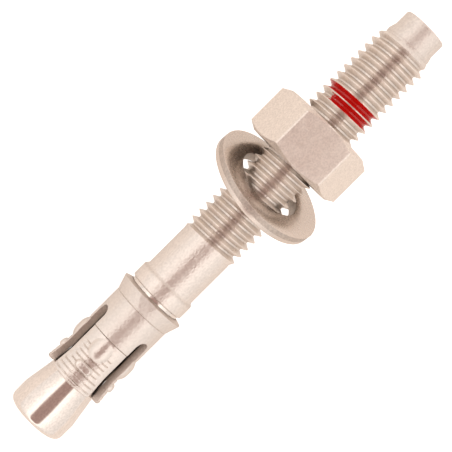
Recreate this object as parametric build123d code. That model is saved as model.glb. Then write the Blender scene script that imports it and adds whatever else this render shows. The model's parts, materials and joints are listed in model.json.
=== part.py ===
from build123d import *
import math
import os

# A wedge anchor for concrete, size M10, in four pieces: the stud, its expansion clip,
# a loose flat washer and a hexagon nut. Lengths are in millimetres and angles in degrees.
#
# Each piece is made about the anchor's own axis, which runs along +X from the cone end (x = 0)
# to the struck end. Turns about that axis are counted from +Y towards +Z. The stud's thread is
# simplified to rings of its true pitch and depth, plain where it fades at both ends, and the
# nut's to a plain bore just wider than their crests. At the end the whole anchor is laid down as
# it rests: on the rounded edge of its cone and on the lower edge of the tilted washer.

# stud, overall
stud_length = 85.7

# stud, expansion cone and the neck that carries the clip
cone_d = 10.2
cone_band = 3.65
cone_half_angle = 9.1
cone_end_round = 1.2
neck_d = 7.5

# stud, collar and shank
collar_start = 27.2
collar_length = 2.5
collar_d = 9.98
collar_shoulder = 0.45
shank_d = 9.12

# stud, thread: rolled up over the swell from the shank's diameter
thread_d = 9.85
thread_start = 38.15
thread_swell = 1.3
thread_pitch = 1.5
thread_root_d = 8.08
ring_count = 23
first_ring = 44.06

# stud, struck end
dog_d = 7.56
dog_length = 2.6
shoulder_d = 8.7
shoulder_length = 2.0
thread_end_chamfer = 1.1

# expansion clip: a strip of sheet rolled round the neck, open at its seam
sheet = 1.18
clip_play = 0.2
clip_length = 17.85
rim_gap = 0.5
flare_angle = 18.0
flare_length = 2.5
narrow_leg_width = 3.17
seam_gap = 2.1
slot_width = 2.13
slot_to_flare = 2.9
clip_turn = 74.9

# expansion clip, legs: coined thinner than the sleeve, and lifted on the cone at their tips
tip_clearance = 0.15
tip_bevel = 0.3
lift_length = 4.0
coining = 0.06
coined_length = 8.95
coining_step = 0.15

# expansion clip: what is pressed into each leg, and the facets over the wide legs
groove_count = 8
groove_pitch = 0.835
groove_from_tip = 0.62
groove_width = 0.32
groove_depth = 0.13
large_bump_from_tip = 6.8
large_bump_height = 0.5
large_bump_r = 2.37
large_bump_stretch = 0.8
large_dimple_r = 1.3
small_bump_from_tip = 3.15
small_bump_height = 0.38
small_bump_r = 0.93
small_bump_stretch = 1.3
small_dimple_r = 1.0
facet_from_crease = 0.35
facet_depth = 0.24

# flat washer: it leans as far as its hole lets it
washer_d = 20.3
washer_thickness = 1.8
washer_play = 2.08
washer_rest_gap = 0.05
washer_edge_round = 0.3
washer_burr_bevel = 0.1
washer_to_nut = 0.2

# hexagon nut
nut_across_flats = 15.87
nut_height = 8.4
nut_from_struck_end = 21.25
nut_rolled_over = 7.4
nut_chamfer_d = 15.35
nut_chamfer_angle = 30.0
nut_bore_clearance = 0.05
nut_countersink = 0.45

# worked out: radii and places along the axis
cone_r, neck_r, collar_r, shank_r = cone_d / 2, neck_d / 2, collar_d / 2, shank_d / 2
thread_r, thread_root_r, dog_r = thread_d / 2, thread_root_d / 2, dog_d / 2
collar_end = collar_start + collar_length
dog_start = stud_length - dog_length
shoulder_start = dog_start - shoulder_length
thread_end = shoulder_start - thread_end_chamfer
clip_in_r = neck_r + clip_play
clip_out_r = clip_in_r + sheet
clip_mid_r = clip_in_r + sheet / 2
leg_r = clip_out_r - coining
rim_end = collar_start - rim_gap
tip_x = rim_end - clip_length
nut_end = stud_length - nut_from_struck_end
nut_start = nut_end - nut_height


def tan(degrees):
    """Tangent of an angle in degrees."""
    return math.tan(math.radians(degrees))


def cone_radius(x):
    """Radius of the expansion cone at x, which ends at the neck."""
    return max(neck_r, cone_r - max(0.0, x - cone_band) * tan(cone_half_angle))


def turned(*points):
    """A solid turned about the anchor's axis, from the (x, radius) corners of its section."""
    return revolve(make_face(Polyline(*points, close=True)), axis=Axis.X)


def rim_at(solid, x):
    """The largest circular edge of a turned solid at x."""
    rims = solid.edges().filter_by(GeomType.CIRCLE)
    return rims.filter_by_position(Axis.X, x - 0.001, x + 0.001).sort_by(SortBy.RADIUS)[-1]


def radial_cut(outline, half_angle, foot_r):
    """Extrude an outline away from the axis along +Y, with walls that open by half_angle."""
    reach = clip_out_r + flare_length + 1.0 - foot_r
    plane = Plane(origin=(0, foot_r, 0), x_dir=(1, 0, 0), z_dir=(0, 1, 0))
    return extrude(plane * outline, amount=reach, taper=-half_angle)


def along_capsule(radius, stretch):
    """A capsule about the origin, stretched along the anchor."""
    ends = Pos(-stretch / 2, 0, 0) * Sphere(radius) + Pos(stretch / 2, 0, 0) * Sphere(radius)
    return ends + Rot(0, 90, 0) * Cylinder(radius, stretch)


def around_capsule(radius, stretch):
    """A capsule about the origin, stretched around the anchor."""
    ends = Pos(0, 0, -stretch / 2) * Sphere(radius) + Pos(0, 0, stretch / 2) * Sphere(radius)
    return ends + Cylinder(radius, stretch)


def thread_rings():
    """The (x, radius) corners of the thread's V grooves: a crest, then a root and a crest each."""
    corners = [(first_ring - thread_pitch / 2, thread_r)]
    for index in range(ring_count):
        root_x = first_ring + index * thread_pitch
        corners += [(root_x, thread_root_r), (root_x + thread_pitch / 2, thread_r)]
    return corners


def anchor_stud():
    """The one-piece stud: cone, neck, collar, shank, thread and struck end."""
    neck_start = cone_band + (cone_r - neck_r) / tan(cone_half_angle)
    body = turned(
        (0, 0),
        (0, cone_r),
        (cone_band, cone_r),
        (neck_start, neck_r),
        (collar_start, neck_r),
        (collar_start, collar_r),
        (collar_end, collar_r),
        (collar_end + collar_shoulder, shank_r),
        (thread_start, shank_r),
        (thread_start + thread_swell, thread_r),
        *thread_rings(),
        (thread_end, thread_r),
        (shoulder_start, shoulder_d / 2),
        (dog_start, dog_r),
        (stud_length, dog_r),
        (stud_length, 0),
    )
    return fillet(rim_at(body, 0), cone_end_round)


def clip_sleeve():
    """The rolled strip before slots and pressings: flared rim, sleeve and lifted leg tips."""
    along, up = math.cos(math.radians(flare_angle)), math.sin(math.radians(flare_angle))
    lift = cone_radius(tip_x) + tip_clearance - clip_in_r
    crease = rim_end - flare_length * along - sheet * up
    step = tip_x + coined_length
    section = make_face(
        Polyline(
            (rim_end, clip_out_r + flare_length * up - sheet * along),
            (rim_end - sheet * up, clip_out_r + flare_length * up),
            (crease, clip_out_r),
            (step, clip_out_r),
            (step - coining_step, leg_r),
            (tip_x + lift_length, leg_r),
            (tip_x, leg_r + lift),
            (tip_x, clip_in_r + lift),
            (tip_x + lift_length, clip_in_r),
            (crease + sheet * tan(flare_angle / 2), clip_in_r),
            close=True,
        )
    )
    tip_corner = section.vertices().group_by(Axis.X)[0].sort_by(Axis.Y)[-1]
    section = chamfer(tip_corner, tip_bevel)
    sleeve = revolve(section, axis=Axis.X)
    for index in range(groove_count):
        x = tip_x + groove_from_tip + index * groove_pitch
        surface = leg_r + lift * max(0.0, 1 - (x - tip_x) / lift_length)
        sleeve -= turned(
            (x - groove_width / 2, surface + groove_depth),
            (x - groove_width / 2, surface),
            (x, surface - groove_depth),
            (x + groove_width / 2, surface),
            (x + groove_width / 2, surface + groove_depth),
        )
    return sleeve, crease


def expansion_clip():
    """The clip: wide and narrow legs in turn, with grooves, bumps and flattened facets."""
    clip, crease = clip_sleeve()
    narrow, slot_turn, seam_turn = (
        math.degrees(width / clip_mid_r) for width in (narrow_leg_width, slot_width, seam_gap)
    )
    wide = (360 - seam_turn - 3 * slot_turn - 2 * narrow) / 2
    leg_step = (wide + narrow) / 2 + slot_turn
    wide_legs, narrow_legs = (0, 2 * leg_step), (-leg_step, leg_step)
    slot_half, seam_half = slot_turn / 2, seam_turn / 2
    first_slot = wide / 2 + slot_half
    slots = (-first_slot, first_slot, first_slot + narrow + slot_turn)
    seam_at = -leg_step - narrow / 2 - seam_half

    foot_r = clip_in_r / 2
    slot_end = crease - slot_to_flare - clip_out_r * tan(slot_half)
    slot_start = tip_x - foot_r
    slot_outline = Pos((slot_start + slot_end) / 2, 0) * Rectangle(
        slot_end - slot_start, 2 * foot_r * tan(slot_half)
    ) + Pos(slot_end, 0) * Circle(foot_r * tan(slot_half))
    slot = radial_cut(slot_outline, slot_half, foot_r)
    seam_outline = Pos((tip_x + rim_end) / 2, 0) * Rectangle(
        clip_length + 2 * foot_r, 2 * foot_r * tan(seam_half)
    )
    seam = radial_cut(seam_outline, seam_half, foot_r)

    rim_x = rim_end - sheet * math.sin(math.radians(flare_angle))
    rim_r = clip_out_r + (rim_x - crease) * tan(flare_angle)
    facet_x = crease + facet_from_crease
    facet_r = clip_out_r + facet_from_crease * tan(flare_angle)
    facet_slope = (rim_r - facet_depth - facet_r) / (rim_x - facet_x)
    facet_end = rim_end + 1.0
    facet = extrude(
        make_face(
            Polyline(
                (facet_x, facet_r),
                (facet_end, facet_r + facet_slope * (facet_end - facet_x)),
                (facet_end, rim_r + 1.0),
                (facet_x, rim_r + 1.0),
                close=True,
            )
        ),
        amount=clip_out_r,
        both=True,
    )

    large_x, small_x = tip_x + large_bump_from_tip, tip_x + small_bump_from_tip
    large_y = leg_r + large_bump_height - large_bump_r
    small_y = leg_r + small_bump_height - small_bump_r
    bumps = Pos(large_x, large_y, 0) * along_capsule(large_bump_r, large_bump_stretch)
    bumps += Pos(small_x, small_y, 0) * around_capsule(small_bump_r, small_bump_stretch)
    large_floor, small_floor = clip_in_r + large_bump_height, clip_in_r + small_bump_height
    dimples = Pos(large_x, large_floor - large_dimple_r, 0) * Sphere(large_dimple_r)
    dimples += Pos(small_x, small_floor - small_dimple_r, 0) * Sphere(small_dimple_r)
    core = Pos(tip_x, 0, 0) * Rot(0, 90, 0) * Cylinder(clip_mid_r, 4 * clip_length)
    for turn in wide_legs + narrow_legs:
        at_leg = Rot(turn, 0, 0)
        clip += at_leg * (bumps - core)
        clip -= at_leg * dimples
    for turn in wide_legs:
        clip -= Rot(turn, 0, 0) * facet
    for turn in slots:
        clip -= Rot(turn, 0, 0) * slot
    clip -= Rot(seam_at, 0, 0) * seam
    return Rot(clip_turn, 0, 0) * clip


def washer_tilt():
    """How far the washer leans before both edges of its hole meet the thread."""
    hole = thread_d + washer_play
    diagonal = math.hypot(hole, washer_thickness)
    reach = (thread_d + 2 * washer_rest_gap) / diagonal
    return math.degrees(math.acos(reach) - math.atan2(washer_thickness, hole))


def washer_centre_x():
    """Middle of the washer on the axis, with its lower half just clear of the nut's end face."""
    lean = math.radians(washer_tilt())
    face = washer_thickness / 2 + nut_chamfer_d / 2 * math.sin(lean)
    return nut_start - (face + washer_to_nut) / math.cos(lean)


def flat_washer():
    """The punched washer: rounded edge towards the cone, sheared edge towards the nut."""
    half, hole_r, out_r = washer_thickness / 2, (thread_d + washer_play) / 2, washer_d / 2
    ring = turned(
        (-half, hole_r),
        (-half, out_r),
        (half - washer_burr_bevel, out_r),
        (half, out_r - washer_burr_bevel),
        (half, hole_r),
    )
    ring = fillet(rim_at(ring, -half), washer_edge_round)
    return Pos(washer_centre_x(), 0, 0) * Rot(0, -washer_tilt(), 0) * ring


def hex_nut():
    """The nut: both ends of the hexagon chamfered, a flat face rolled a little off the top."""
    corner_r = nut_across_flats / 2 / math.cos(math.radians(30))
    chamfer_r, bore_r = nut_chamfer_d / 2, thread_r + nut_bore_clearance
    bevel = (corner_r - chamfer_r) * tan(nut_chamfer_angle)
    across = Plane(origin=(nut_start, 0, 0), x_dir=(0, 0, 1), z_dir=(1, 0, 0))
    hexagon = RegularPolygon(nut_across_flats / 2, 6, major_radius=False, rotation=30 - nut_rolled_over)
    prism = extrude(across * hexagon, amount=nut_height)
    round_ends = turned(
        (nut_start, bore_r + nut_countersink),
        (nut_start, chamfer_r),
        (nut_start + bevel, corner_r),
        (nut_end - bevel, corner_r),
        (nut_end, chamfer_r),
        (nut_end, bore_r + nut_countersink),
        (nut_end - nut_countersink, bore_r),
        (nut_start + nut_countersink, bore_r),
    )
    return prism & round_ends


def laid_down():
    """Slope of the axis and its height at x = 0 with the cone's and washer's edges on z = 0."""
    lean = math.radians(washer_tilt())
    cone_arc = (cone_end_round, cone_end_round - cone_r)
    down = washer_d / 2 - washer_edge_round
    back = washer_thickness / 2 - washer_edge_round
    washer_arc = (
        washer_centre_x() + down * math.sin(lean) - back * math.cos(lean),
        -down * math.cos(lean) - back * math.sin(lean),
    )
    run, rise = washer_arc[0] - cone_arc[0], washer_arc[1] - cone_arc[1]
    floor = math.atan2(rise, run) - math.asin(
        (washer_edge_round - cone_end_round) / math.hypot(run, rise)
    )
    height = cone_end_round - (cone_arc[1] * math.cos(floor) - cone_arc[0] * math.sin(floor))
    return -math.degrees(floor), height


pieces = {
    "anchor_stud": anchor_stud(),
    "expansion_clip": expansion_clip(),
    "flat_washer": flat_washer(),
    "hex_nut": hex_nut(),
}
slope, axis_height = laid_down()
laid = {name: Rot(0, -slope, 0) * piece for name, piece in pieces.items()}
box = Compound(laid.values()).bounding_box()
to_rest = Pos(-(box.min.X + box.max.X) / 2, 0, axis_height)

os.makedirs("parts", exist_ok=True)
for name, piece in laid.items():
    export_step(to_rest * piece, f"parts/{name}.step")
print(f"axis slope {slope:.3f} deg, axis passes x = {to_rest.position.X:.4f}, z = {axis_height:.4f}")
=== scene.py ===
import json
import math

import bmesh
import bpy
from mathutils import Matrix, Vector, noise


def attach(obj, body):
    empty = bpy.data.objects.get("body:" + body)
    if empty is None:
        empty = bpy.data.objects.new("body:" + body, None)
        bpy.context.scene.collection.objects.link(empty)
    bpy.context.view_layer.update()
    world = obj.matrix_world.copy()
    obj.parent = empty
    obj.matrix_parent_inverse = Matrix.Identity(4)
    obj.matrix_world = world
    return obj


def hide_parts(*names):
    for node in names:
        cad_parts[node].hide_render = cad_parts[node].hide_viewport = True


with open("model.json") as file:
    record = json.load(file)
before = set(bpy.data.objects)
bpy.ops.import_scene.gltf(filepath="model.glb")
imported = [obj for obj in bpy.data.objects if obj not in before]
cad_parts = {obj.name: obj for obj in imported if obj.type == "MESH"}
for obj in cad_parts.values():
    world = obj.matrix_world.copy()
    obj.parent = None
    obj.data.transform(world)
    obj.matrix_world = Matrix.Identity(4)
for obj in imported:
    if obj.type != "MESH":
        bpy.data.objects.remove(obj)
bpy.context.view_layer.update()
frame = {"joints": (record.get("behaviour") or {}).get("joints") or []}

# ---------------------------------------------------------------- where the anchor lies
# The anchor lies on the edge of its cone and on the rim of its leaning washer, so its axis rises
# a little towards the struck end. Pieces are made about their own +X axis in millimetres, from
# the cone end, and laid there.

NUT_MIDDLE = 60.25  # mm from the cone end to the middle of the nut

nut_joint = next(j for j in frame["joints"] if j["name"] == "nut_turn")
along = Vector(nut_joint["axis"]).normalized()
across = Vector((0, 1, 0))
above = along.cross(across)
cone_end = Vector(nut_joint["pos_m"]) - along * NUT_MIDDLE / 1000
lay = Matrix.Translation(cone_end) @ Matrix((along, across, above)).transposed().to_4x4()


def laid(x, turn, r):
    """The point at x mm along the axis and r mm from it, turned from +Y towards +Z."""
    turn = math.radians(turn)
    return lay @ (Vector((x, r * math.cos(turn), r * math.sin(turn))) / 1000)


# ---------------------------------------------------------------- camera
# A long lens looks down on the anchor from a quarter of a metre, a little to one side.

CAMERA_LENS = 131.4
CAMERA_X, CAMERA_TURN, CAMERA_R = 52.46, 76.4, 255.0  # along, around and off the anchor's axis
AIM_X, AIM_ASIDE = 42.46, 0.11  # the point it looks at, beside the axis
CAMERA_RISE = 44.84  # how steeply the axis climbs across the view, in degrees

camera = bpy.data.objects.new("camera", bpy.data.cameras.new("camera"))
bpy.context.scene.collection.objects.link(camera)
bpy.context.scene.camera = camera
camera.data.lens = CAMERA_LENS
camera.data.clip_start = 0.01
eye = laid(CAMERA_X, CAMERA_TURN, CAMERA_R)
aim = laid(AIM_X, CAMERA_TURN - 90, AIM_ASIDE)
back = (eye - aim).normalized()
level = (along - along.dot(back) * back).normalized()
right = Matrix.Rotation(-math.radians(CAMERA_RISE), 3, back) @ level
camera.matrix_world = (
    Matrix.Translation(eye) @ Matrix((right, back.cross(right), back)).transposed().to_4x4()
)

# ---------------------------------------------------------------- floor and light
# A white floor in a light tent: bright panels on both sides of the dark gap that is left
# overhead, and a paler surround. Metal shows all three as bands along its curves.


def linear(hex_colour):
    """An sRGB colour such as 'e8dccf' as a linear RGBA."""
    levels = [int(hex_colour[i : i + 2], 16) / 255 for i in (0, 2, 4)]
    return [c / 12.92 if c <= 0.04045 else ((c + 0.055) / 1.055) ** 2.4 for c in levels] + [1]


def node(tree, kind, links=(), **settings):
    """Add a node: settings are its properties, or sockets by number as in_0; links feed sockets."""
    new = tree.nodes.new("ShaderNode" + kind)
    for key, value in settings.items():
        if key.startswith("in_"):
            new.inputs[int(key[3:])].default_value = value
        else:
            setattr(new, key, value)
    for socket, source in dict(links).items():
        tree.links.new(source, new.inputs[socket])
    return new


FLOOR_SIZE = 3.0  # m
PAPER_GLOW, GLOW_LEVEL = (1.05, 0.97, 0.9, 1), 0.5  # as the metal mirrors the paper

bpy.ops.mesh.primitive_plane_add(size=FLOOR_SIZE)
floor = bpy.context.object
floor.name = "floor"
# Matt white paper: it shows as plain white and takes the anchor's soft shadow.
paper = bpy.data.materials.new("white_paper")
paper.use_nodes = True
paper_tree = paper.node_tree
paper_shader = paper_tree.nodes["Principled BSDF"]
paper_shader.inputs["Base Color"].default_value = linear("bcb4ac")
paper_shader.inputs["Roughness"].default_value = 0.9
paths = node(paper_tree, "LightPath").outputs
own_glow = node(
    paper_tree, "Math", {0: paths["Is Glossy Ray"], 2: paths["Is Camera Ray"]},
    in_1=GLOW_LEVEL, operation="MULTIPLY_ADD",
).outputs[0]
paper_tree.links.new(own_glow, paper_shader.inputs["Emission Strength"])
glow_colour = node(
    paper_tree, "Mix", {0: paths["Is Camera Ray"]}, data_type="RGBA", in_6=PAPER_GLOW,
    in_7=(1, 1, 1, 1),
).outputs[2]
paper_tree.links.new(glow_colour, paper_shader.inputs["Emission Color"])
floor.data.materials.append(paper)

# Levels of light around the anchor's axis, by degrees from straight up. A ramp's colours stop
# at 1, so the ramp holds half of each level and is doubled after it.
TENT_LEAN = 7.4  # the gap overhead leans this far towards +Y
TENT_TINT = (1.16, 1.06, 0.99)
TENT_LEVELS = [
    (-170, 0.9), (-115, 0.9), (-85, 0.92), (-72, 0.98), (-60, 1.06), (-48, 1.16), (-36, 1.4),
    (-27, 1.5), (28, 1.5), (36, 1.4), (46, 1.16), (58, 1.06), (72, 0.98), (90, 0.92), (130, 0.9),
    (172, 0.9),
]
GAP_COLOUR = (0.475, 0.314, 0.27, 1)
GAP_SHARES = [(-25, 0), (-20, 1), (19, 1), (24, 0)]
GAP_FADE, GAP_END = 0.85, 0.97  # the gap fades out this far towards the ends of the anchor

world = bpy.data.worlds.new("light_tent")
bpy.context.scene.world = world
world.use_nodes = True
tent = world.node_tree
tent.nodes.clear()
direction = node(tent, "TexCoord").outputs["Generated"]
towards = node(tent, "SeparateXYZ", {0: direction}).outputs
sideways = node(tent, "Math", {0: towards[1], 1: towards[2]}, operation="ARCTAN2").outputs[0]
turned_by = node(
    tent, "MapRange", {0: sideways}, in_1=-math.pi, in_2=math.pi, in_3=0.0, in_4=1.0
).outputs[0]
ramp = node(tent, "ValToRGB", {0: turned_by})
stops = ramp.color_ramp.elements
for angle, light in TENT_LEVELS:
    stops.new(0.5 + (angle + TENT_LEAN) / 360).color = [light / 2] * 3 + [1]
stops.remove(stops[0])
stops.remove(stops[-1])
gap_ramp = node(tent, "ValToRGB", {0: turned_by})
stops = gap_ramp.color_ramp.elements
for angle, share in GAP_SHARES:
    stops.new(0.5 + (angle + TENT_LEAN) / 360).color = [share] * 3 + [1]
stops[0].color = stops[-1].color = [0, 0, 0, 1]
doubled = node(
    tent, "VectorMath", {0: ramp.outputs[0]}, in_1=[2 * part for part in TENT_TINT],
    operation="MULTIPLY",
).outputs[0]
endways = node(tent, "Math", {0: towards[0]}, operation="ABSOLUTE").outputs[0]
gap_left = node(
    tent, "MapRange", {0: endways}, in_1=GAP_FADE, in_2=GAP_END, in_3=1.0, in_4=0.0
).outputs[0]
gap_share = node(
    tent, "Math", {0: gap_ramp.outputs[0], 1: gap_left}, operation="MULTIPLY"
).outputs[0]
tent_light = node(
    tent, "Mix", {0: gap_share, 6: doubled}, data_type="RGBA", in_7=GAP_COLOUR
).outputs[2]
seen = node(tent, "LightPath").outputs["Is Camera Ray"]
shown = node(tent, "Mix", {0: seen, 6: tent_light}, data_type="RGBA", in_7=(1, 1, 1, 1))
glow = node(tent, "Background", {0: shown.outputs[2]}, in_1=1.0)
node(tent, "OutputWorld", {0: glow.outputs[0]})
bpy.context.scene.view_settings.view_transform = "Standard"

# ---------------------------------------------------------------- stud
# One bar of bright cold-drawn stainless steel: the cone is turned and polished, the collar and
# shank are as drawn, and the thread is rolled. Red paint in the thread's groove marks how deep
# the stud is set.

CONE_R, CONE_BAND, CONE_ROUND = 5.1, 3.65, 1.2
NECK_R, NECK_START = 3.75, 12.08
NECK_END, FOOT_START, FOOT_R = 25.9, 26.45, 4.6  # the neck thickens just before the collar
COLLAR_START, COLLAR_END, COLLAR_R = 27.2, 29.7, 4.99
COLLAR_ROUND, COLLAR_BREAK = 0.2, 0.12
SHANK_START, SHANK_R, SHANK_ROUND = 30.15, 4.56, 0.15
THREAD_R, ROOT_R, PITCH = 4.925, 4.04, 1.5
CREST_HALF, CREST_SOFT, ROOT_SOFT = 0.07, 0.02, 0.03  # half the crest, and its soft corners
SWELL_START, SWELL_END = 38.15, 39.45
THREAD_END, SHOULDER_START, SHOULDER_R = 80.0, 81.1, 4.35
DOG_START, DOG_R, DOG_ROUND, STUD_END = 83.1, 3.78, 0.3, 85.7  # the end that is struck
FIRST_CUT, LAST_CUT = 37.3, 82.5  # where the helical surface starts and stops
BRIDGE = 0.1  # between it and the turned parts
GROOVE_PHASE = 39.25  # where the first groove crosses the +Y side
AROUND = 96  # steps to a turn


def turned(section, steps):
    """A bmesh turned about +X from the (x, radius) corners of its section."""
    shape = bmesh.new()
    corners = [shape.verts.new((x, r, 0)) for x, r in section]
    edges = [shape.edges.new(pair) for pair in zip(corners, corners[1:])]
    bmesh.ops.spin(
        shape, geom=corners + edges, cent=(0, 0, 0), axis=(1, 0, 0), angle=2 * math.pi,
        steps=steps, use_merge=True,
    )
    bmesh.ops.remove_doubles(shape, verts=shape.verts, dist=1e-4)
    return shape


def ring(shape, x, r):
    """The edges of a turned shape that lie on the circle of radius r at x."""
    near = {
        v for v in shape.verts
        if abs(v.co.x - x) < 1e-3 and abs(math.hypot(v.co.y, v.co.z) - r) < 1e-3
    }
    return [e for e in shape.edges if e.verts[0] in near and e.verts[1] in near]


def rounded(shape, x, r, offset, segments):
    """Round the ring edge at x and r."""
    bmesh.ops.bevel(
        shape, geom=ring(shape, x, r), offset=offset, offset_type="OFFSET", affect="EDGES",
        segments=segments, profile=0.5, material=-1,
    )


def finished(shape, name, sharp_angle=35):
    """Lay a bmesh made in millimetres where the anchor lies, as a smooth-shaded object."""
    bmesh.ops.recalc_face_normals(shape, faces=shape.faces)
    mesh = bpy.data.meshes.new(name)
    shape.to_mesh(mesh)
    shape.free()
    mesh.transform(lay @ Matrix.Scale(0.001, 4))
    mesh.shade_smooth()
    mesh.set_sharp_from_angle(angle=math.radians(sharp_angle))
    piece = bpy.data.objects.new(name, mesh)
    bpy.context.scene.collection.objects.link(piece)
    return piece


def between(value, start, end):
    """How far value lies from start to end, held between 0 and 1."""
    return min(1.0, max(0.0, (value - start) / (end - start)))


def crest_limit(x):
    """Radius that the rolled thread reaches at x: it swells from the shank and is chamfered."""
    swell = SHANK_R + (THREAD_R - SHANK_R) * between(x, SWELL_START, SWELL_END)
    chamfer = THREAD_R - (THREAD_R - SHOULDER_R) * between(x, THREAD_END, SHOULDER_START)
    shoulder = (SHOULDER_R - DOG_R) * between(x, SHOULDER_START, DOG_START)
    return min(swell, chamfer - shoulder)


def helical(start, end):
    """A 60 degree screw surface that covers at least start to end, with its grooves in phase."""
    root = PITCH / 2 - (THREAD_R - ROOT_R) * math.tan(math.radians(30)) - CREST_HALF
    crest = PITCH / 2 - CREST_HALF
    half = [
        (0, ROOT_R), (root - ROOT_SOFT, ROOT_R), (root + ROOT_SOFT, ROOT_R + 2 * ROOT_SOFT),
        (crest - CREST_SOFT, THREAD_R - 2 * CREST_SOFT), (crest + CREST_SOFT, THREAD_R),
    ]
    section = half + [(PITCH - x, r) for x, r in reversed(half)]
    first = GROOVE_PHASE - (math.ceil((GROOVE_PHASE - start) / PITCH) + 1) * PITCH
    shape = bmesh.new()
    corners = [shape.verts.new((first + x, r, 0)) for x, r in section]
    edges = [shape.edges.new(pair) for pair in zip(corners, corners[1:])]
    bmesh.ops.spin(
        shape, geom=corners + edges, cent=(0, 0, 0), axis=(1, 0, 0),
        dvec=(PITCH / AROUND, 0, 0), angle=2 * math.pi, steps=AROUND,
    )
    turns = 1
    while first + (turns - 1) * PITCH < end:
        copied = bmesh.ops.duplicate(shape, geom=shape.verts[:] + shape.edges[:] + shape.faces[:])
        moved = [part for part in copied["geom"] if isinstance(part, bmesh.types.BMVert)]
        bmesh.ops.translate(shape, verts=moved, vec=(turns * PITCH, 0, 0))
        turns *= 2
    bmesh.ops.remove_doubles(shape, verts=shape.verts, dist=2e-3)
    return shape


def cut_off(shape, x, keep_right):
    """Cut a shape square at x and keep one side of it."""
    bmesh.ops.bisect_plane(
        shape, geom=shape.verts[:] + shape.edges[:] + shape.faces[:], plane_co=(x, 0, 0),
        plane_no=(1, 0, 0), clear_inner=keep_right, clear_outer=not keep_right, dist=1e-5,
    )


thread = helical(FIRST_CUT, LAST_CUT)
for vert in thread.verts:  # the groove deepens over its first turn, up to where it is in phase
    turn = math.atan2(vert.co.z, vert.co.y) % (2 * math.pi) / (2 * math.pi)
    turns_in = round((vert.co.x - GROOVE_PHASE) / PITCH - turn) + turn
    radius = math.hypot(vert.co.y, vert.co.z)
    depth_kept = between(turns_in, -1, 0)
    wanted = min(crest_limit(vert.co.x), THREAD_R - depth_kept * (THREAD_R - radius))
    vert.co.yz = vert.co.yz * (wanted / radius)
cut_off(thread, FIRST_CUT, True)
cut_off(thread, LAST_CUT, False)

cone_side = turned(
    [
        (0, 0), (0, CONE_R), (CONE_BAND, CONE_R), (NECK_START, NECK_R), (NECK_END, NECK_R),
        (FOOT_START, FOOT_R), (COLLAR_START, FOOT_R), (COLLAR_START, COLLAR_R),
        (COLLAR_END, COLLAR_R), (SHANK_START, SHANK_R), (FIRST_CUT - BRIDGE, SHANK_R),
    ],
    AROUND,
)
rounded(cone_side, 0, CONE_R, CONE_ROUND, 6)
rounded(cone_side, COLLAR_START, COLLAR_R, COLLAR_ROUND, 3)
rounded(cone_side, COLLAR_END, COLLAR_R, COLLAR_BREAK, 2)
rounded(cone_side, SHANK_START, SHANK_R, SHANK_ROUND, 2)
struck_side = turned(
    [
        (LAST_CUT + BRIDGE, crest_limit(LAST_CUT + BRIDGE)), (DOG_START, DOG_R),
        (STUD_END, DOG_R), (STUD_END, 0),
    ],
    AROUND,
)
rounded(struck_side, STUD_END, DOG_R, DOG_ROUND, 4)
stud_shape = bmesh.new()
for part in (cone_side, thread, struck_side):
    part_mesh = bpy.data.meshes.new("part")
    part.to_mesh(part_mesh)
    part.free()
    stud_shape.from_mesh(part_mesh)
    bpy.data.meshes.remove(part_mesh)
for start, end in ((FIRST_CUT - BRIDGE, FIRST_CUT), (LAST_CUT, LAST_CUT + BRIDGE)):
    ends = [
        e for e in stud_shape.edges
        if e.is_boundary and all(start - 1e-3 < v.co.x < end + 1e-3 for v in e.verts)
    ]
    bmesh.ops.bridge_loops(stud_shape, edges=ends)
stud = finished(stud_shape, "anchor_stud_threaded")


# Bare stainless steel takes its looks from what it mirrors, so it is given a pale warm grey, a
# gloss that differs from stretch to stretch, a cloudy unevenness and a grain. The real grain is
# a few hundredths of a millimetre and would not show, so it is drawn ten times as large.
RAMP_SPAN = 100.0  # mm along the anchor that a colour ramp covers
CLOUDS_PER_MM, CLOUD_TONE, CLOUD_GLOSS = 0.9, 0.95, 0.1  # density, darkest tone, gloss either way
NOISE_LOW, NOISE_HIGH = 0.3, 0.7  # noise seldom goes further
NO_GRAIN, FULL_GRAIN = 0.1375, 0.3875  # the smoother the metal, the less of its grain is left


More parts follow.
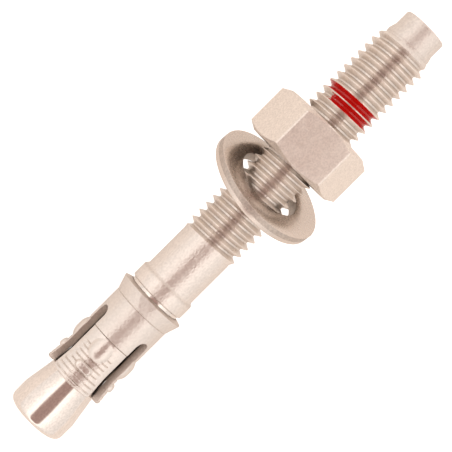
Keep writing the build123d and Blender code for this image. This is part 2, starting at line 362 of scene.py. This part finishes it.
def stainless(name, colour, roughness, grain, depth, speckle, stretch=(1, 1, 1)):
    """Bare stainless steel, and the place on it in mm.

    roughness is a list of (place along the anchor, value); grain is the grain's size and depth
    its height, in mm; speckle is how much the grain varies the colour; stretch draws it out.
    """
    steel = bpy.data.materials.new(name)
    steel.use_nodes = True
    tree = steel.node_tree
    shader = tree.nodes["Principled BSDF"]
    shader.inputs["Metallic"].default_value = 1.0
    place = node(
        tree, "Mapping", {0: node(tree, "TexCoord").outputs["Object"]}, vector_type="TEXTURE",
        in_1=lay.translation, in_2=lay.to_euler(), in_3=(0.001, 0.001, 0.001),
    ).outputs[0]
    cloud = node(
        tree, "TexNoise", {0: place}, in_2=CLOUDS_PER_MM, in_3=3.0, in_4=0.6
    ).outputs[0]
    pale, deep = linear(colour), [CLOUD_TONE * c for c in linear(colour)[:3]] + [1]
    tone = node(tree, "Mix", {0: cloud}, data_type="RGBA", in_6=deep, in_7=pale).outputs[2]
    drawn = node(tree, "VectorMath", {0: place}, operation="MULTIPLY", in_1=stretch).outputs[0]
    fine = node(tree, "TexNoise", {0: drawn}, in_2=1 / grain, in_3=2.0, in_4=0.5).outputs[0]
    flecks = node(
        tree, "MapRange", {0: fine}, in_1=NOISE_LOW, in_2=NOISE_HIGH, in_3=1 - speckle,
        in_4=1 + speckle,
    ).outputs[0]
    tone = node(tree, "VectorMath", {0: tone, 1: flecks}, operation="MULTIPLY").outputs[0]
    tree.links.new(tone, shader.inputs["Base Color"])
    station = node(tree, "SeparateXYZ", {0: place}).outputs[0]
    share = node(tree, "Math", {0: station}, operation="DIVIDE", in_1=RAMP_SPAN).outputs[0]
    ramp = node(tree, "ValToRGB", {0: share})
    stops = ramp.color_ramp.elements
    for x, value in roughness:
        stops.new(x / RAMP_SPAN).color = [value] * 3 + [1]
    stops[0].color = [roughness[0][1]] * 3 + [1]
    stops[-1].color = [roughness[-1][1]] * 3 + [1]
    uneven = node(
        tree, "MapRange", {0: cloud}, in_1=NOISE_LOW, in_2=NOISE_HIGH, in_3=1 - CLOUD_GLOSS,
        in_4=1 + CLOUD_GLOSS,
    ).outputs[0]
    gloss = node(tree, "Math", {0: ramp.outputs[0], 1: uneven}, operation="MULTIPLY").outputs[0]
    tree.links.new(gloss, shader.inputs["Roughness"])
    grain_left = node(
        tree, "MapRange", {0: ramp.outputs[0]}, in_1=NO_GRAIN, in_2=FULL_GRAIN
    ).outputs[0]
    bump = node(tree, "Bump", {0: grain_left, 3: fine}, in_1=depth / 1000).outputs[0]
    tree.links.new(bump, shader.inputs["Normal"])
    return steel, place


# Cold-drawn bar: the polished cone mirrors sharply, the shank shows soft bands with a mottled
# edge, and the rolled thread is a little glossier than the shank.
stud_gloss = [(26.9, 0.14), (27.2, 0.38), (38.5, 0.38), (39.5, 0.3), (80.0, 0.3), (81.0, 0.48)]
stud_steel, stud_place = stainless(
    "drawn_stainless", "e1dbd6", stud_gloss, 0.32, 0.07, 0.08, (0.8, 1, 1)
)

# Painted shade on the bar: the neck, and the cone under the tips of the clip's legs, are painted
# dark as the shadow between and under the legs; a painted shadow line runs round the foot of the
# collar, and the corner behind the collar is darker. Along the thread the colour is a little
# warmer, as painted light bounced between the flanks. The last number of each is the share of
# colour left at the root of the thread, as painted shade in the groove.
UNSHADED = (1, 1, 1, 1)
# Painted shadow on the neck and on the cone under the clip's legs, and as a line at the collar's
# foot.
PAINTED_SHADOW = (0.3, 0.27, 0.25, 1)
# Only darker in the corner behind the collar.
CORNER_DARKER = (0.7, 0.67, 0.64, 1)
# Painted light on the thread: a warmer tint for light bounced between the flanks, and painted shade
# at the roots.
PAINTED_THREAD_SHADE = (1, 0.98, 0.96, 0.88)
PAINTED_HIGHLIGHT, CREST_BAND = 1.06, 0.15  # a painted highlight, full from this depth below the crests outwards, so on the cone and collar too
painted_shade_stops = [
    (9.2, UNSHADED), (9.6, PAINTED_SHADOW), (25.7, PAINTED_SHADOW), (26.1, UNSHADED),
    (26.96, UNSHADED), (27.04, PAINTED_SHADOW), (27.2, PAINTED_SHADOW), (27.25, UNSHADED),
    (29.66, UNSHADED), (29.72, CORNER_DARKER), (29.86, CORNER_DARKER), (29.92, UNSHADED),
    (38.5, UNSHADED), (39.5, PAINTED_THREAD_SHADE), (80.0, PAINTED_THREAD_SHADE), (81.0, UNSHADED),
]
tree = stud_steel.node_tree
shader = tree.nodes["Principled BSDF"]
place = node(tree, "SeparateXYZ", {0: stud_place}).outputs
share = node(tree, "Math", {0: place[0]}, operation="DIVIDE", in_1=RAMP_SPAN).outputs[0]
shade_ramp = node(tree, "ValToRGB", {0: share})
stops = shade_ramp.color_ramp.elements
for x, shade in painted_shade_stops:
    stops.new(x / RAMP_SPAN).color = shade
stops[0].color = stops[-1].color = UNSHADED
bright = shader.inputs["Base Color"].links[0].from_socket
# The bar's colour is multiplied by the ramp's painted shade.
shaded_base = node(
    tree, "VectorMath", {0: bright, 1: shade_ramp.outputs[0]}, operation="MULTIPLY"
).outputs[0]
outwards = node(
    tree, "VectorMath", {0: stud_place}, operation="MULTIPLY", in_1=(0, 1, 1)
).outputs[0]
radius = node(tree, "VectorMath", {0: outwards}, operation="LENGTH").outputs[1]
# Painted shade at the thread's roots, rising to a painted highlight on the crests and the outer
# surfaces.
painted_depth_shade = node(
    tree, "MapRange", {0: radius, 3: shade_ramp.outputs[1]}, in_1=ROOT_R, in_2=THREAD_R - CREST_BAND,
    in_4=PAINTED_HIGHLIGHT,
).outputs[0]
bare = node(tree, "VectorMath", {0: shaded_base, 1: painted_depth_shade}, operation="MULTIPLY").outputs[0]

# The setting mark is glossy red enamel, run into the groove for one turn and two thirds and worn
# off the crests. Turns are counted along the groove, from where it first crosses the +Y side.
PAINT_START, PAINT_END, PAINT_TOP = 19.1, 20.75, 4.8  # in turns, and its radius
PAINT_RAGGED, PAINT_WORN = 0.12, 0.16  # unevenness of its start and its top
PAINT_NOISE_PER_MM = 2.2
PAINT_COLOUR, PAINT_ROUGHNESS = "c0120c", 0.14

facing = node(tree, "Math", {0: place[2], 1: place[1]}, operation="ARCTAN2").outputs[0]
turn = node(tree, "Math", {0: facing}, operation="DIVIDE", in_1=2 * math.pi).outputs[0]
pitches = node(
    tree, "Math", {0: place[0]}, operation="MULTIPLY_ADD", in_1=1 / PITCH,
    in_2=-GROOVE_PHASE / PITCH,
).outputs[0]
groove = node(tree, "Math", {0: pitches, 1: turn}, operation="SUBTRACT").outputs[0]
groove = node(tree, "Math", {0: groove}, operation="ROUND").outputs[0]
run = node(tree, "Math", {0: groove, 1: turn}, operation="ADD").outputs[0]
ragged = node(tree, "TexNoise", {0: stud_place}, in_2=PAINT_NOISE_PER_MM, in_3=3.0).outputs[0]
start = node(
    tree, "Math", {0: ragged}, operation="MULTIPLY_ADD", in_1=PAINT_RAGGED,
    in_2=PAINT_START - PAINT_RAGGED / 2,
).outputs[0]
begun = node(tree, "Math", {0: run, 1: start}, operation="GREATER_THAN").outputs[0]
ended = node(tree, "Math", {0: run}, operation="LESS_THAN", in_1=PAINT_END).outputs[0]
worn = node(
    tree, "Math", {0: ragged}, operation="MULTIPLY_ADD", in_1=PAINT_WORN,
    in_2=PAINT_TOP - PAINT_WORN / 2,
).outputs[0]
below = node(tree, "Math", {0: radius, 1: worn}, operation="LESS_THAN").outputs[0]
painted = node(tree, "Math", {0: begun, 1: ended}, operation="MULTIPLY").outputs[0]
painted = node(tree, "Math", {0: painted, 1: below}, operation="MULTIPLY").outputs[0]
coat = node(
    tree, "Mix", {0: painted, 6: bare}, data_type="RGBA", in_7=linear(PAINT_COLOUR)
).outputs[2]
tree.links.new(coat, shader.inputs["Base Color"])
metal = node(tree, "Math", {1: painted}, operation="SUBTRACT", in_0=1.0).outputs[0]
tree.links.new(metal, shader.inputs["Metallic"])
bare_gloss = shader.inputs["Roughness"].links[0].from_socket
gloss = node(tree, "Mix", {0: painted, 2: bare_gloss}, in_3=PAINT_ROUGHNESS).outputs[0]
tree.links.new(gloss, shader.inputs["Roughness"])
stud.data.materials.append(stud_steel)
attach(stud, "stud")
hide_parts("anchor_stud")

# ---------------------------------------------------------------- expansion clip
# A strip of stainless sheet, pierced with three slots and pressed with grooves and bumps while
# flat, then rolled round the neck until its ends almost meet. Its rim is flared towards the
# collar, and the tips of its legs ride up on the cone.

SHEET = 1.18
CLIP_IN_R = 3.95
CLIP_R, MIDDLE_R = CLIP_IN_R + SHEET, CLIP_IN_R + SHEET / 2
TIP, CREASE = 8.85, 23.96
FLARE_ANGLE, FLARE_LENGTH = math.radians(18), 2.5
CLIP_TURN = 74.9  # of the front leg's middle
SLOT, SEAM, NARROW = 26.88, 26.5, 40.0  # turns about the axis, in degrees
WIDE = (360 - SEAM - 3 * SLOT - 2 * NARROW) / 2
LEG_STEP = (WIDE + NARROW) / 2 + SLOT
SLOT_TO_TIP, SLOT_ROUND = 10.98, 1.2  # where its round end starts, and how far that reaches
TIP_LIFT, LIFT_LENGTH = 0.467, 4.0
COINING, COINED, COIN_RAMP = 0.06, 8.95, 0.06  # the legs are pressed thinner up to here
STEP_DEPTH, STEP_HALF = 0.13, 0.05  # the line that the press left across them
CREASE_DEPTH = 0.09
TIP_ROUND, TIP_CORNER, TIP_REACH = 0.3, 0.5, 2.0
TIP_BULGE, BULGE_HALF = 0.12, 3.0  # on a leg this half as wide
GROOVES, GROOVE_FIRST, GROOVE_STEP, GROOVE_WIDTH, GROOVE_DEPTH = 8, 0.62, 0.835, 0.32, 0.17
GROOVE_FADE, GROOVE_UNEVEN, UNEVEN_PER_MM = 0.12, 0.25, 2.5
LARGE_BUMP = (6.8, 0.5, 2.37, 0.8)  # from the tip, height, radius, stretch along
SMALL_BUMP = (3.15, 0.38, 0.93, 1.3)  # from the tip, height, radius, stretch around
DIMPLE_R, DIMPLE_EXTRA = 0.6, 0.1  # least radius behind a bump, and more than the sheet leaves
FACET_START, FACET_DEPTH, FACET_SIDE = 0.35, 0.24, 4.4
CLIP_EDGE = 0.1
FINE_ROWS, LEG_ROWS, SLEEVE_ROWS, COLUMNS = 0.11, 0.15, 0.3, 2.3  # steps in mm, and in degrees
CREASE_HALF = 0.1


def divided(stops, step):
    """The stops, with the stretches between them divided evenly into steps of at most step."""
    places = [stops[0]]
    for start, end in zip(stops, stops[1:]):
        count = max(1, math.ceil((end - start) / step - 1e-6))
        places += [start + (end - start) * index / count for index in range(1, count + 1)]
    return places


# The strip lies flat, x from its tips and y around, with rows where something is pressed in.
groove_stops = [0]
for index in range(GROOVES):
    middle = GROOVE_FIRST + index * GROOVE_STEP
    groove_stops += [middle - GROOVE_WIDTH / 2, middle, middle + GROOVE_WIDTH / 2]
sleeve_length = CREASE - TIP
rows = divided(groove_stops, FINE_ROWS)
rows += divided([groove_stops[-1], COINED - 2 * STEP_HALF], LEG_ROWS)[1:]
rows += [COINED - STEP_HALF, COINED]
rows += divided([COINED + COIN_RAMP, SLOT_TO_TIP, sleeve_length - CREASE_HALF], SLEEVE_ROWS)
rows += [sleeve_length]
rows += divided([sleeve_length + CREASE_HALF, sleeve_length + FLARE_LENGTH], SLEEVE_ROWS)
leg_stops = [-LEG_STEP - NARROW / 2]
for width in (NARROW, SLOT, WIDE, SLOT, NARROW, SLOT, WIDE):
    leg_stops.append(leg_stops[-1] + width)
columns = divided(leg_stops, COLUMNS)

clip_shape = bmesh.new()
bmesh.ops.create_grid(
    clip_shape, x_segments=len(rows) - 1, y_segments=len(columns) - 1, size=0.5
)
for vert in clip_shape.verts:
    row = round((vert.co.x + 0.5) * (len(rows) - 1))
    column = round((vert.co.y + 0.5) * (len(columns) - 1))
    vert.co = (rows[row], math.radians(columns[column]) * MIDDLE_R, 0)


def slot_share(y):
    """How far across the nearest slot y lies, from -1 to 1 inside it, and more outside."""
    turn = math.degrees(y / MIDDLE_R)
    middles = (-(WIDE + SLOT) / 2, (WIDE + SLOT) / 2, LEG_STEP + (NARROW + SLOT) / 2)
    return min(((turn - middle) / (SLOT / 2) for middle in middles), key=abs)


def leg_share(y):
    """How far across its leg y lies, from -1 to 1, the leg's half width in mm and its turn."""
    turn = math.degrees(y / MIDDLE_R)
    legs = [(0, WIDE), (-LEG_STEP, NARROW), (LEG_STEP, NARROW), (2 * LEG_STEP, WIDE)]
    middle, width = min(legs, key=lambda leg: abs(turn - leg[0]) / leg[1])
    half = math.radians(width / 2) * MIDDLE_R
    return (turn - middle) / (width / 2), half, middle


pierced = []
for face in clip_shape.faces:
    middle = face.calc_center_median()
    if middle.x < SLOT_TO_TIP and abs(slot_share(middle.y)) < 1:
        pierced.append(face)
bmesh.ops.delete(clip_shape, geom=pierced, context="FACES")
for vert in clip_shape.verts:
    x, y = vert.co.x, vert.co.y
    share = slot_share(y)
    if abs(share) < 1 and x >= SLOT_TO_TIP - 1e-6:  # make room for the slot's round end
        reach = SLOT_ROUND * math.sqrt(1 - share * share)
        fade = between(x, sleeve_length - 0.3, SLOT_TO_TIP)
        vert.co.x += reach * fade
    elif x < TIP_REACH:  # round the corners of the leg, and bow its tip
        share, half, _ = leg_share(y)
        inset = min(TIP_CORNER, TIP_CORNER - (1 - abs(share)) * half)
        corner = TIP_CORNER - math.sqrt(TIP_CORNER**2 - inset**2) if inset > 0 else 0
        bulge = TIP_BULGE * (half / BULGE_HALF) ** 2 * (2 * share * share - 1)
        vert.co.x += (corner + bulge) * (1 - x / TIP_REACH)
outer_faces = clip_shape.faces[:]
walls = bmesh.ops.extrude_face_region(clip_shape, geom=outer_faces, use_keep_orig=True)["geom"]
inner_verts = [part for part in walls if isinstance(part, bmesh.types.BMVert)]
bmesh.ops.translate(clip_shape, verts=inner_verts, vec=(0, 0, -SHEET))
bmesh.ops.recalc_face_normals(clip_shape, faces=clip_shape.faces)
for face in clip_shape.faces:
    face.material_index = int(abs(face.normal.z) < 0.5)
bmesh.ops.bevel(
    clip_shape, geom=[e for e in clip_shape.edges if e.calc_face_angle(0) > 1], affect="EDGES",
    offset=CLIP_EDGE, offset_type="OFFSET", segments=2, profile=0.5, material=-1,
)


def capsule_height(x, turn, centre_r, radius, stretch, spread):
    """Height above the axis of a capsule pressed through the sheet, or 0 beside it."""
    x_out = max(0.0, abs(x) - stretch / 2)
    side = CLIP_R * math.sin(turn)
    side_out = max(0.0, abs(side) - spread / 2)
    left = radius**2 - x_out**2 - side_out**2
    if left < 0 or abs(turn) > 1:
        return 0.0
    return math.hypot(centre_r + math.sqrt(left), side)


def pressed(x, y):
    """How far the outer and the inner face are moved by what is pressed into the legs."""
    share, half, middle = leg_share(y)
    turn = y / MIDDLE_R - math.radians(middle)
    outer = -COINING * between(x, COINED + COIN_RAMP, COINED)
    outer -= STEP_DEPTH * max(0.0, 1 - abs(x - COINED + STEP_HALF) / STEP_HALF)
    leg_r = CLIP_R - COINING
    bump = dimple = 0.0
    for (place, height, radius, stretch), across_it in ((LARGE_BUMP, False), (SMALL_BUMP, True)):
        shape = (0.0, stretch) if across_it else (stretch, 0.0)
        top = capsule_height(x - place, turn, leg_r + height - radius, radius, *shape)
        rise = max(0.0, top - leg_r)
        if across_it:  # the small bump has a soft foot
            rise *= (rise / height) * (3 - 2 * rise / height)
        bump = max(bump, rise)
        hollow_r = max(DIMPLE_R, radius - SHEET + DIMPLE_EXTRA)
        floor_r = capsule_height(x - place, turn, CLIP_IN_R + height - hollow_r, hollow_r, *shape)
        dimple = max(dimple, floor_r - CLIP_IN_R)
    if bump > 0:
        return outer + bump, dimple
    nearest = min(GROOVES - 1, max(0, round((x - GROOVE_FIRST) / GROOVE_STEP)))
    away = abs(x - GROOVE_FIRST - nearest * GROOVE_STEP) / (GROOVE_WIDTH / 2)
    if half < 2:  # a narrow leg
        reach = 0.92
    else:  # on a wide leg only the first three grooves run right across
        reach = 1.0 if nearest < 3 else 0.8
    fade = between(abs(share), reach, reach - GROOVE_FADE)
    rough = GROOVE_UNEVEN * noise.noise(Vector((UNEVEN_PER_MM * x, UNEVEN_PER_MM * y, 7.0)))
    return outer - GROOVE_DEPTH * (1 + rough) * fade * max(0.0, 1 - away), dimple


for vert in clip_shape.verts:  # press it, roll it round the neck and flare its rim
    x, y, depth = vert.co.x, vert.co.y, -vert.co.z
    outer_move, inner_move = pressed(x, y) if x < COINED + 0.15 else (0.0, 0.0)
    outward = 1 - depth / SHEET
    lift = TIP_LIFT * max(0.0, 1 - x / LIFT_LENGTH)
    early = min(1.0, max(0.0, 1 - x / TIP_ROUND))
    lift -= TIP_ROUND * outward * (1 - math.sqrt(1 - early**2))
    over = max(0.0, x - sleeve_length)
    bend = FLARE_ANGLE if over > 1e-4 else FLARE_ANGLE / 2 if x > sleeve_length - 1e-4 else 0.0
    thick = depth / math.cos(FLARE_ANGLE / 2) if 0 < bend < FLARE_ANGLE else depth
    radius = CLIP_R + over * math.sin(FLARE_ANGLE) - thick * math.cos(bend)
    radius += lift + outer_move * outward + inner_move * (1 - outward)
    radius -= CREASE_DEPTH * outward if abs(x - sleeve_length) < 0.01 else 0.0
    station = TIP + min(x, sleeve_length) + over * math.cos(FLARE_ANGLE) + thick * math.sin(bend)
    turn = y / MIDDLE_R + math.radians(CLIP_TURN)
    vert.co = (station, radius * math.cos(turn), radius * math.sin(turn))

# The flare is flattened over the middle of each wide leg.
rim_r = CLIP_R + FLARE_LENGTH * math.sin(FLARE_ANGLE)
rim_x = CREASE + FLARE_LENGTH * math.cos(FLARE_ANGLE)
facet_r = CLIP_R + FACET_START * math.tan(FLARE_ANGLE)
facet_slope = (rim_r - FACET_DEPTH - facet_r) / (rim_x - CREASE - FACET_START)
for middle in (0, 2 * LEG_STEP):
    turn = math.radians(CLIP_TURN + middle)
    outward = Vector((0, math.cos(turn), math.sin(turn)))
    normal = (outward - facet_slope * Vector((1, 0, 0))).normalized()
    point = Vector((CREASE + FACET_START, 0, 0)) + facet_r * outward
    flared = [
        f for f in clip_shape.faces
        if f.calc_center_median().x > CREASE and f.calc_center_median().dot(outward) > FACET_SIDE
    ]
    touched = {part for f in flared for part in (*f.verts, *f.edges)}
    bmesh.ops.bisect_plane(
        clip_shape, geom=[*flared, *touched], plane_co=point, plane_no=normal, dist=1e-5
    )
    for vert in clip_shape.verts:
        proud = (vert.co - point).dot(normal)
        if proud > 0 and vert.co.x > CREASE and vert.co.dot(outward) > 0:
            vert.co -= proud * normal
clip = finished(clip_shape, "expansion_clip_pressed", 15)

# Cold-rolled sheet is soft and satiny, and the press burnished its legs. The sheared walls of
# the slots are duller and more coarsely grained, and their colour is painted a little darker as
# shade, so they stay darker than the faces.
coin_end = TIP + COINED
clip_gloss = [(coin_end - 0.1, 0.33), (coin_end, 0.4), (CREASE, 0.42), (CREASE + 0.4, 0.48)]
clip_steel, _ = stainless("pressed_stainless_sheet", "e1dbd6", clip_gloss, 0.4, 0.06, 0.05)
# Its colour is painted a little darker than the faces' colour, as shade in the slots.
shaded_clip_wall_steel, _ = stainless("sheared_shaded_stainless_sheet", "dcd3cc", [(TIP, 0.5)], 0.3, 0.01, 0.1)
clip.data.materials.append(clip_steel)
clip.data.materials.append(shaded_clip_wall_steel)
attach(clip, "clip")
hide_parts("expansion_clip")

# ---------------------------------------------------------------- flat washer
# Punched from stainless plate and loose on the stud. The punch left its edge rounded and smooth
# towards the cone and torn towards the nut.

WASHER_R, WASHER_HOLE_R, WASHER_HALF = 10.15, 5.8, 0.9
WASHER_TORN = -0.05  # the torn half of its edge starts here, through the thickness
TORN_EDGE, TORN_HOLE = 0.05, 0.04  # faces this near the edge and the hole are torn
WASHER_ROUND, HOLE_ROUND, WASHER_BREAK = 0.3, 0.15, 0.1  # the punched edges, and the others
WASHER_LEAN, WASHER_PLACE = 25.86, 51.107
WASHER_AROUND = 192

washer_shape = turned(
    [
        (-WASHER_HALF, WASHER_HOLE_R), (-WASHER_HALF, WASHER_R), (WASHER_TORN, WASHER_R),
        (WASHER_HALF, WASHER_R), (WASHER_HALF, WASHER_HOLE_R), (-WASHER_HALF, WASHER_HOLE_R),
    ],
    WASHER_AROUND,
)
rounded(washer_shape, -WASHER_HALF, WASHER_R, WASHER_ROUND, 4)
rounded(washer_shape, WASHER_HALF, WASHER_R, WASHER_BREAK, 2)
rounded(washer_shape, -WASHER_HALF, WASHER_HOLE_R, WASHER_BREAK, 2)
rounded(washer_shape, WASHER_HALF, WASHER_HOLE_R, HOLE_ROUND, 2)
for face in washer_shape.faces:
    middle = face.calc_center_median()
    middle_r = math.hypot(middle.y, middle.z)
    torn = middle_r > WASHER_R - TORN_EDGE and middle.x > WASHER_TORN
    face.material_index = int(torn or middle_r < WASHER_HOLE_R + TORN_HOLE)
lean = Matrix.Rotation(-math.radians(WASHER_LEAN), 4, "Y")
lean = Matrix.Translation((WASHER_PLACE, 0, 0)) @ lean
bmesh.ops.transform(washer_shape, matrix=lean, verts=washer_shape.verts)
washer = finished(washer_shape, "flat_washer_punched")

# Rolled plate is smooth and mirrors the dark gap overhead as a broad patch. The torn edge is
# rough, darker and speckled.
washer_steel, _ = stainless("rolled_stainless_plate", "d8cec6", [(50, 0.27)], 0.3, 0.001, 0.04)
torn_steel, _ = stainless("torn_stainless_edge", "bdb3ab", [(50, 0.42)], 0.35, 0.04, 0.15)
washer.data.materials.append(washer_steel)
washer.data.materials.append(torn_steel)
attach(washer, "washer")
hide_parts("flat_washer")

# ---------------------------------------------------------------- hexagon nut
# Cold-forged in stainless steel, with a satin grain and chamfered at both ends. The real nut is
# threaded to match the stud; here its bore is plain. The forging die left its six corners rounded.

NUT_START, NUT_END = 56.05, 64.45
NUT_FLAT, NUT_CORNER_ROUND = 7.935, 0.54
NUT_CHAMFER_R, NUT_CHAMFER, NUT_EDGE = 7.675, math.radians(30), 0.12
NUT_TURN = 82.6  # from +Y to the middle of a flat
NUT_BORE_R, NUT_MOUTH = 4.975, 0.45
NUT_BLANK_R, NUT_AROUND = 9, 480  # a round blank is turned first, then brought to the hexagon


def hexagon_radius(turn):
    """Distance from the axis to the nut's side in a direction, corners rounded."""
    from_corner = (turn - NUT_TURN) % 60 - 30
    centre = (NUT_FLAT - NUT_CORNER_ROUND) / math.cos(math.radians(30))
    arc_end = centre + NUT_CORNER_ROUND * math.cos(math.radians(30))
    limit = math.atan2(NUT_CORNER_ROUND / 2, arc_end)
    from_corner = math.radians(from_corner)
    if abs(from_corner) < limit:
        side = centre * math.sin(from_corner)
        return centre * math.cos(from_corner) + math.sqrt(NUT_CORNER_ROUND**2 - side**2)
    return NUT_FLAT / math.cos(math.radians(30) - abs(from_corner))


nut_shape = turned(
    [
        (NUT_START + NUT_MOUTH, NUT_BORE_R), (NUT_START, NUT_BORE_R + NUT_MOUTH),
        (NUT_START, NUT_CHAMFER_R), (NUT_START, NUT_BLANK_R), (NUT_END, NUT_BLANK_R),
        (NUT_END, NUT_CHAMFER_R), (NUT_END, NUT_BORE_R + NUT_MOUTH),
        (NUT_END - NUT_MOUTH, NUT_BORE_R), (NUT_START + NUT_MOUTH, NUT_BORE_R),
    ],
    NUT_AROUND,
)
side_rings = ring(nut_shape, NUT_START, NUT_BLANK_R) + ring(nut_shape, NUT_END, NUT_BLANK_R)
for vert in {v for edge in side_rings for v in edge.verts}:
    turn = math.degrees(math.atan2(vert.co.z, vert.co.y))
    radius = hexagon_radius(turn)
    chamfer = (radius - NUT_CHAMFER_R) * math.tan(NUT_CHAMFER)
    station = NUT_START + chamfer if vert.co.x < NUT_MIDDLE else NUT_END - chamfer
    turn = math.radians(turn)
    vert.co = (station, radius * math.cos(turn), radius * math.sin(turn))
bmesh.ops.bevel(
    nut_shape, geom=side_rings, affect="EDGES", offset=NUT_EDGE, offset_type="OFFSET",
    segments=2, profile=0.5, material=-1,
)
for vert in nut_shape.verts:  # the rounding must not stand out of the hexagon at its corners
    turn = math.degrees(math.atan2(vert.co.z, vert.co.y))
    vert.co.yz = vert.co.yz * min(1.0, hexagon_radius(turn) / math.hypot(vert.co.y, vert.co.z))
nut = finished(nut_shape, "hexagon_nut_forged", 22)

# Forged steel has a satin skin: each flat shows as one even tone.
nut_steel, _ = stainless("forged_stainless", "ebe4dd", [(60, 0.46)], 0.3, 0.02, 0.1)
nut.data.materials.append(nut_steel)
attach(nut, "nut")
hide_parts("hex_nut")
